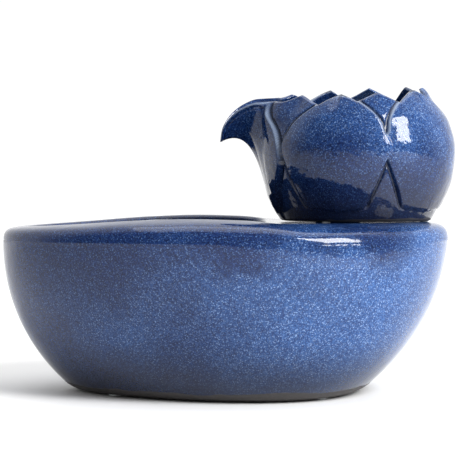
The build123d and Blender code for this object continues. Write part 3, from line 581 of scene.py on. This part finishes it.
def under_bowl(turn, angle):
    """Rings from the middle of the underside to the shoulder."""
    whole = np.ones_like(turn)
    recess_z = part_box("lower_washer")[1].z / MM
    rings = [around(radius * whole, turn, recess_z) for radius in BOWL_RECESS_RADII]
    for radius, z in (
        (BOWL_FOOT_INNER, recess_z - 1.5),
        (BOWL_FOOT_INNER + 0.3, BOWL_FOOT_Z + 1.0),
        (BOWL_FOOT_INNER + 1.3, BOWL_FOOT_Z),
        (BOWL_FOOT_OUTER, BOWL_FOOT_Z),
    ):
        rings.append(around(radius * whole, turn, z))
    for z in np.linspace(0.35, SHOULDER_Z, LOW_RINGS):
        pinch = FOOT_PINCH * np.exp(-z / PINCH_HEIGHT)
        rings.append(around(lobe_radius(angle, z * whole) - pinch, turn, BOWL_FOOT_Z + z))
    return rings


def bowl_rings():
    turn = np.linspace(-pi, pi, BOWL_RAYS, endpoint=False)
    angle = view_angle(turn)
    rings = under_bowl(turn, angle)
    outside = bowl_sheet(turn, False)
    inside = bowl_sheet(turn, True)
    rings += outside
    lip_out, lip_in = outside[-1], inside[-1]
    inward = np.stack([-np.cos(turn), -np.sin(turn), 0 * turn], axis=1)
    share = beak_share(angle)
    thickness = (TIP_LIP + SIDE_LIP * smooth(0.0, 1.2, share))[:, None]
    far_lip = np.where(share[:, None] < 1.0, lip_in + inward * thickness, lip_in)
    for step in np.linspace(0, 1, LIP_RINGS)[1:-1]:
        bulge = np.array([0.0, 0.0, LIP_BULGE]) * sin(step * pi)
        rings.append(lip_out + (far_lip - lip_out) * step + bulge)
    for row in range(HIGH_RINGS - 1, -1, -1):
        shift = max(0.0, (row - (HIGH_RINGS - 1 - LIP_BLEND_RINGS)) / LIP_BLEND_RINGS)
        rings.append(inside[row] + (far_lip - lip_in) * shift)
    floor_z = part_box("upper_washer")[0].z / MM
    low_z = BOWL_FOOT_Z + SHOULDER_Z
    start = regular_inside(angle, np.full(turn.shape, low_z))
    for bend in quarter(0.2, 6):
        z = low_z - (low_z - floor_z) * sin(bend)
        rings.append(around(start - BOWL_FLOOR_CORNER * (1 - cos(bend)), turn, z))
    for portion in (0.8, 0.5, 0.2):
        rings.append(around((start - BOWL_FLOOR_CORNER) * portion, turn, floor_z))
    return rings


def mark_glaze(piece):
    """Keeps the pooled glaze with its painted groove shade, and the broken glaze with its painted edge
    highlight, of the outside as two values at each point.
    """
    mesh = piece.data
    count = len(mesh.vertices)
    place = np.empty(count * 3)
    mesh.vertices.foreach_get("co", place)
    place = place.reshape(-1, 3) / MM
    x, y, z = place[:, 0] - BOWL_X, place[:, 1], place[:, 2] - BOWL_FOOT_Z
    angle = view_angle(np.arctan2(y, x))
    radius = np.hypot(x, y)
    outside = smooth(-4.2, -3.2, radius - curve_through(LOBE_PROFILE_Z, CORE_PROFILE_R, z))
    off_beak = smooth(BEAK_HALF - 2, BEAK_HALF + 2, np.abs(wrap(angle - BEAK_MIDDLE)))
    pooled_glaze_and_shade, broken_glaze_and_highlight = (mark * outside * off_beak for mark in glaze_marks(angle, z))
    row, ray = np.divmod(np.arange(count), BOWL_RAYS)
    turn = -pi + 2 * pi * ray / BOWL_RAYS
    on_beak = smooth(1.0, 0.9, beak_share(view_angle(turn)))
    below_lip = (FIRST_SHEET_ROW + HIGH_RINGS - 1 - row) * BEAK_REACH / HIGH_RINGS
    # Along the beak: a dark line beside its band, pooled glaze and painted shade, and a pale line along its
    # lip, broken glaze and painted highlight
    pooled_glaze_and_shade = pooled_glaze_and_shade + 0.7 * on_beak * np.exp(-(((below_lip - BEAK_BAND) / 1.2) ** 2))
    broken_glaze_and_highlight = broken_glaze_and_highlight + 0.8 * on_beak * np.exp(-((below_lip / 0.8) ** 2))
    for name, values in (("pooled_glaze_and_shade", pooled_glaze_and_shade), ("broken_glaze_and_highlight", broken_glaze_and_highlight)):
        layer = mesh.attributes.new(name, "FLOAT", "POINT")
        layer.data.foreach_set("value", values.astype(np.float32))


def make_lotus():
    piece = ring_mesh("lotus_flower_bowl", bowl_rings())
    mark_glaze(piece)
    low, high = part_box("outlet_fitting")
    drill(piece, (low.x + high.x) / 2 / MM, 0, BOWL_FOOT_Z + 8, OUTLET_HOLE_RADIUS, "Z", CUT - 10)
    finish_fired(piece, glaze("lotus_glaze", BOWL_LOW.z, LOTUS_BARE, LOTUS_PAINTED_LIGHT, marks=True))
    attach(piece, "bowl")
    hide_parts("lotus_bowl")
    return piece


# ---------------------------------------------------------------- materials


GLAZE_IOR = 1.42
CLOUDS = 21.0  # cloudy patches in a metre
CLOUD_SHIFT = 0.30  # how far they shift the painted light's change from shaded to lit, in metres
BASIN_RIPPLE, LOTUS_RIPPLE = 0.00030, 0.00075  # depth of the glaze's ripples, in metres
# A shaded copy and a lit copy of its dark grains, its blue grains and its pale specks: painted shade and
# painted light
DEEP = ((0.0018, 0.0065, 0.034), (0.0072, 0.031, 0.128))
BLUE = ((0.0055, 0.0220, 0.098), (0.030, 0.098, 0.282))
PALE = ((0.055, 0.115, 0.260), (0.260, 0.385, 0.620))
SPECKS = ((1000.0, 0.44, 0.95), (1600.0, 0.46, 0.80))  # cells in a metre, size and strength
# Dark pooled glaze that also paints the shade in the grooves, and pale broken glaze that also paints a
# highlight on the edges
POOLED_AND_SHADE = (0.003, 0.005, 0.014)
BROKEN_AND_HIGHLIGHT = (0.26, 0.32, 0.42)
LOW_GLAZE = (0.010, 0.011, 0.020)
LOW_HEIGHT = 0.034  # how far above the bare clay the glaze darkens, in metres
CLAY = ((0.022, 0.020, 0.020), (0.060, 0.055, 0.056))
GLOSS, CLAY_ROUGHNESS = 0.07, 0.55
# A Mix node's colour sockets, by number, because its names repeat
MIX_FACTOR, MIX_A, MIX_B, MIX_RESULT = 0, 6, 7, 2


def map_range(tree, value, low, high, to_low=0.0, to_high=1.0):
    """A value taken smoothly from one range to another."""
    node = tree.nodes.new("ShaderNodeMapRange")
    node.interpolation_type = "SMOOTHSTEP"
    for key, number in (("From Min", low), ("From Max", high), ("To Min", to_low), ("To Max", to_high)):
        node.inputs[key].default_value = number
    tree.links.new(value, node.inputs["Value"])
    return node.outputs["Result"]


class Nodes:
    """A material's node tree, with short calls for the nodes it uses."""

    def __init__(self, name):
        self.material = bpy.data.materials.new(name)
        self.material.use_nodes = True
        self.tree = self.material.node_tree
        self.shader = self.tree.nodes["Principled BSDF"]
        self.place = self.tree.nodes.new("ShaderNodeTexCoord").outputs["Object"]

    def link(self, output, node_input):
        self.tree.links.new(output, node_input)

    def set(self, **values):
        for key, value in values.items():
            self.shader.inputs[key.replace("_", " ")].default_value = value

    def noise(self, scale, detail=2.0, roughness=0.5, place=None):
        node = self.tree.nodes.new("ShaderNodeTexNoise")
        node.inputs["Scale"].default_value = scale
        node.inputs["Detail"].default_value = detail
        node.inputs["Roughness"].default_value = roughness
        self.link(place or self.place, node.inputs["Vector"])
        return node.outputs["Fac"]

    def cells(self, scale, feature="F1", output="Distance"):
        node = self.tree.nodes.new("ShaderNodeTexVoronoi")
        node.feature = feature
        node.inputs["Scale"].default_value = scale
        self.link(self.place, node.inputs["Vector"])
        return node.outputs[output]

    def spread(self, value, low, high, to_low=0.0, to_high=1.0):
        return map_range(self.tree, value, low, high, to_low, to_high)

    def math(self, operation, a, b):
        node = self.tree.nodes.new("ShaderNodeMath")
        node.operation = operation
        for socket, value in zip(node.inputs, (a, b)):
            if isinstance(value, (int, float)):
                socket.default_value = value
            else:
                self.link(value, socket)
        return node.outputs["Value"]

    def mix(self, share, a, b):
        node = self.tree.nodes.new("ShaderNodeMix")
        node.data_type = "RGBA"
        self.link(share, node.inputs[MIX_FACTOR])
        for number, value in ((MIX_A, a), (MIX_B, b)):
            if isinstance(value, tuple):
                node.inputs[number].default_value = (*value, 1.0)
            else:
                self.link(value, node.inputs[number])
        return node.outputs[MIX_RESULT]

    def value(self, name):
        node = self.tree.nodes.new("ShaderNodeAttribute")
        node.attribute_name = name
        return node.outputs["Fac"]

    def bump(self, value, distance, strength=1.0, after=None):
        node = self.tree.nodes.new("ShaderNodeBump")
        node.inputs["Strength"].default_value = strength
        node.inputs["Distance"].default_value = distance
        self.link(value, node.inputs["Height"])
        if after is not None:
            self.link(after, node.inputs["Normal"])
        return node.outputs["Normal"]


def glaze_grain(n, painted_lit_share):
    """The colour of dark and blue grains with pale specks, each mixed from its shaded copy to its lit copy:
    painted shade and painted light.
    """
    coarse = n.spread(n.noise(330.0, 2.0), 0.40, 0.60, 0.0, 0.20)
    fine = n.spread(n.noise(1300.0, 1.0), 0.40, 0.60, 0.0, 0.80)
    body = n.mix(n.math("ADD", coarse, fine), n.mix(painted_lit_share, *DEEP), n.mix(painted_lit_share, *BLUE))
    pale = n.mix(painted_lit_share, *PALE)
    for scale, size, strength in SPECKS:
        near = n.spread(n.cells(scale), size, size * 0.35)
        pick = n.spread(n.cells(scale, "F1", "Color"), 0.40, 0.75)
        body = n.mix(n.math("MULTIPLY", n.math("MULTIPLY", near, pick), strength), body, pale)
    return body


def glaze(name, foot_z, bare_height, painted_light_ramp, marks=False):
    """Glossy cobalt glaze full of pale specks, over dark clay left bare at the foot."""
    n = Nodes(name)
    place = n.tree.nodes.new("ShaderNodeSeparateXYZ")
    n.link(n.place, place.inputs["Vector"])
    height = place.outputs["Z"]
    clouds = n.noise(CLOUDS, 4.0)
    drift = n.math("MULTIPLY", n.math("SUBTRACT", clouds, 0.5), CLOUD_SHIFT)
    # Painted light and shade: the glaze goes from its shaded copy to its lit copy along X and along the
    # height, with the clouds moving the change about
    along = n.spread(n.math("ADD", place.outputs["X"], drift), *painted_light_ramp["x"])
    leaning = n.math("SUBTRACT", height, n.math("MULTIPLY", place.outputs["X"], painted_light_ramp["lean"]))
    up = n.spread(n.math("ADD", leaning, n.math("MULTIPLY", drift, 0.4)), *painted_light_ramp["z"])
    body = glaze_grain(n, n.math("MULTIPLY", along, up))
    wander = n.math("MULTIPLY", n.noise(35.0, 3.0), 0.006)
    line = n.math("SUBTRACT", n.math("SUBTRACT", height, foot_z + bare_height - 0.003), wander)
    # Darker towards the bottom, over the lowest few centimetres above the bare clay
    darker_low = n.spread(line, LOW_HEIGHT, 0.0, 0.0, 0.85)
    body = n.mix(n.math("MULTIPLY", darker_low, 0.85), body, LOW_GLAZE)
    if marks:
        # Pooled glaze darkens the grooves, also as painted shade, and broken glaze pales the edges, also as
        # painted highlight
        body = n.mix(n.math("MULTIPLY", n.value("pooled_glaze_and_shade"), 0.85), body, POOLED_AND_SHADE)
        body = n.mix(n.math("MULTIPLY", n.value("broken_glaze_and_highlight"), 0.75), body, BROKEN_AND_HIGHLIGHT)
    bare = n.spread(line, 0.0004, -0.0003)
    colour = n.mix(bare, body, n.mix(n.noise(500.0, 4.0), *CLAY))
    n.link(colour, n.shader.inputs["Base Color"])
    n.link(n.spread(bare, 0.0, 1.0, GLOSS, CLAY_ROUGHNESS), n.shader.inputs["Roughness"])
    n.set(IOR=GLAZE_IOR)
    waves = n.bump(n.noise(38.0, 2.0), 0.0006, 0.35)
    ripple = n.bump(n.noise(130.0, 2.0), LOTUS_RIPPLE if marks else BASIN_RIPPLE, 0.6, waves)
    peel = n.bump(n.noise(600.0, 2.0), 0.00006, 0.6, ripple)
    n.link(peel, n.shader.inputs["Normal"])
    return n.material


def moulded(name, colour, roughness, grain=900.0):
    """Moulded plastic or rubber with a fine surface grain and slight colour change."""
    n = Nodes(name)
    darker = tuple(channel * 0.82 for channel in colour)
    n.link(n.mix(n.noise(60.0, 3.0), darker, colour), n.shader.inputs["Base Color"])
    rough = n.spread(n.noise(grain, 2.0), 0.3, 0.7, roughness - 0.06, roughness + 0.08)
    n.link(rough, n.shader.inputs["Roughness"])
    n.link(n.bump(n.noise(grain, 3.0), 0.00005, 0.6), n.shader.inputs["Normal"])
    return n.material


def clear_silicone():
    n = Nodes("silicone")
    n.link(n.mix(n.noise(80.0, 2.0), (0.70, 0.74, 0.75), (0.84, 0.86, 0.86)), n.shader.inputs["Base Color"])
    n.link(n.spread(n.noise(300.0), 0.3, 0.7, 0.22, 0.34), n.shader.inputs["Roughness"])
    n.set(Subsurface_Weight=0.35, Subsurface_Radius=(0.004, 0.004, 0.004))
    return n.material


def metal(name, colour, roughness, stretch):
    """Metal with fine lines across one direction."""
    n = Nodes(name)
    scaled = n.tree.nodes.new("ShaderNodeMapping")
    scaled.inputs["Scale"].default_value = stretch
    n.link(n.place, scaled.inputs["Vector"])
    lines = n.noise(1.0, 2.0, 0.6, scaled.outputs["Vector"])
    darker = tuple(channel * 0.6 for channel in colour)
    n.link(n.mix(lines, darker, colour), n.shader.inputs["Base Color"])
    n.link(n.spread(lines, 0.3, 0.7, roughness, roughness + 0.15), n.shader.inputs["Roughness"])
    n.link(n.bump(lines, 0.0002, 0.5), n.shader.inputs["Normal"])
    n.set(Metallic=1.0)
    return n.material


def foam():
    n = Nodes("foam")
    pores = n.cells(700.0)
    # The pores are painted dark at their centres: painted shade in the dents that the bump sinks there
    colour = n.mix(n.spread(pores, 0.15, 0.5), (0.01, 0.01, 0.011), (0.09, 0.09, 0.095))
    n.link(colour, n.shader.inputs["Base Color"])
    n.link(n.bump(pores, 0.0012, 1.0), n.shader.inputs["Normal"])
    n.set(Roughness=0.95)
    return n.material


def dress_nodes():
    """Gives every CAD node that stays in view its own material."""
    looks = {
        "clear_silicone": clear_silicone(),
        "black_rubber": moulded("black_rubber", (0.035, 0.035, 0.038), 0.62, 700.0),
        "black_plastic": moulded("black_plastic", (0.030, 0.032, 0.036), 0.38, 1100.0),
        "blue_plastic": moulded("blue_plastic", (0.050, 0.170, 0.420), 0.34, 1100.0),
        "white_nylon": moulded("white_nylon", (0.74, 0.74, 0.70), 0.40, 900.0),
        "resin": moulded("resin", (0.030, 0.028, 0.026), 0.18, 150.0),
        "shaft_ceramic": moulded("shaft_ceramic", (0.82, 0.81, 0.77), 0.20, 400.0),
        "ferrite": moulded("ferrite", (0.060, 0.060, 0.064), 0.50, 1400.0),
        "lamination_steel": metal("lamination_steel", (0.46, 0.47, 0.49), 0.32, (40.0, 2000.0, 40.0)),
        "copper_wire": metal("copper_wire", (0.72, 0.33, 0.15), 0.28, (2600.0, 60.0, 60.0)),
        "foam": foam(),
    }
    slots = {entry["node"]: entry["material_slot"] for entry in frame["record"]["subparts"]}
    for name, node in frame["nodes"].items():
        look = looks.get(slots[name])
        if look is None:
            continue
        node.data.materials.clear()
        node.data.materials.append(look)


# ---------------------------------------------------------------- stage, light and camera

CAMERA_DISTANCE = 0.95
CAMERA_Z = 0.117
VIEW_WIDTH = 0.2654  # width of the view at the object's middle
SENSOR_WIDTH = 36.0
AIM = Vector((0.0004, 0.0, 0.0920))
LIGHT_AIM = Vector((0.03, 0.0, 0.08))
FLOOR_SIZE = 12.0
FLOOR_PAPER = ((0.86, 0.86, 0.86), (0.90, 0.90, 0.90))
FLOOR_GLOW = 0.45  # how much the floor far behind the object glows
GLOW_START_Y, GLOW_END_Y = 0.05, 0.9
WHITE = (1.0, 1.0, 1.0, 1.0)
LEFT_GLOW, RIGHT_GLOW, BACK_GLOW = 0.22, 0.65, 1.05  # brightness of the room to each side


def make_camera():
    data = bpy.data.cameras.new("camera")
    data.sensor_width = SENSOR_WIDTH
    data.lens = SENSOR_WIDTH * CAMERA_DISTANCE / VIEW_WIDTH
    data.clip_start = 0.01
    camera = bpy.data.objects.new("camera", data)
    camera.location = (AIM.x, -CAMERA_DISTANCE, CAMERA_Z)
    camera.rotation_euler = (AIM - camera.location).to_track_quat("-Z", "Y").to_euler()
    bpy.context.scene.collection.objects.link(camera)
    bpy.context.scene.camera = camera


def make_floor():
    bpy.ops.mesh.primitive_plane_add(size=FLOOR_SIZE)
    floor = bpy.context.object
    floor.name = "floor"
    n = Nodes("floor_paper")
    n.set(Roughness=0.6, Emission_Color=WHITE)
    depth = n.tree.nodes.new("ShaderNodeSeparateXYZ")
    n.link(n.place, depth.inputs["Vector"])
    n.link(n.mix(n.noise(3.0), *FLOOR_PAPER), n.shader.inputs["Base Color"])
    glow = n.spread(depth.outputs["Y"], GLOW_START_Y, GLOW_END_Y, 0.0, FLOOR_GLOW)
    n.link(glow, n.shader.inputs["Emission Strength"])
    floor.data.materials.append(n.material)


def panel(name, place, width, height, power):
    data = bpy.data.lights.new(name, "AREA")
    data.shape = "RECTANGLE"
    data.size = width
    data.size_y = height
    data.energy = power
    lamp = bpy.data.objects.new(name, data)
    lamp.location = place
    lamp.rotation_euler = (LIGHT_AIM - lamp.location).to_track_quat("-Z", "Y").to_euler()
    bpy.context.scene.collection.objects.link(lamp)


def make_light():
    """A white room, brighter behind the object and to its right, with two softboxes."""
    bpy.context.scene.view_settings.view_transform = "Standard"
    world = bpy.data.worlds.new("studio")
    world.use_nodes = True
    bpy.context.scene.world = world
    tree = world.node_tree
    back = tree.nodes["Background"]
    back.inputs["Color"].default_value = WHITE
    place = tree.nodes.new("ShaderNodeTexCoord")
    split = tree.nodes.new("ShaderNodeSeparateXYZ")
    tree.links.new(place.outputs["Generated"], split.inputs["Vector"])
    sideways = map_range(tree, split.outputs["X"], -0.8, 0.8, LEFT_GLOW, RIGHT_GLOW)
    behind = map_range(tree, split.outputs["Y"], -0.35, 0.30)
    blend = tree.nodes.new("ShaderNodeMix")
    tree.links.new(behind, blend.inputs[0])
    tree.links.new(sideways, blend.inputs[2])
    blend.inputs[3].default_value = BACK_GLOW
    tree.links.new(blend.outputs[0], back.inputs["Strength"])
    panel("key_softbox", (1.00, -0.93, 0.97), 0.60, 0.95, 42.0)
    panel("overhead_softbox", (0.1, 0.3, 1.6), 1.4, 1.4, 9.0)


make_camera()
make_light()
make_floor()
dress_nodes()
make_basin()
make_lotus()
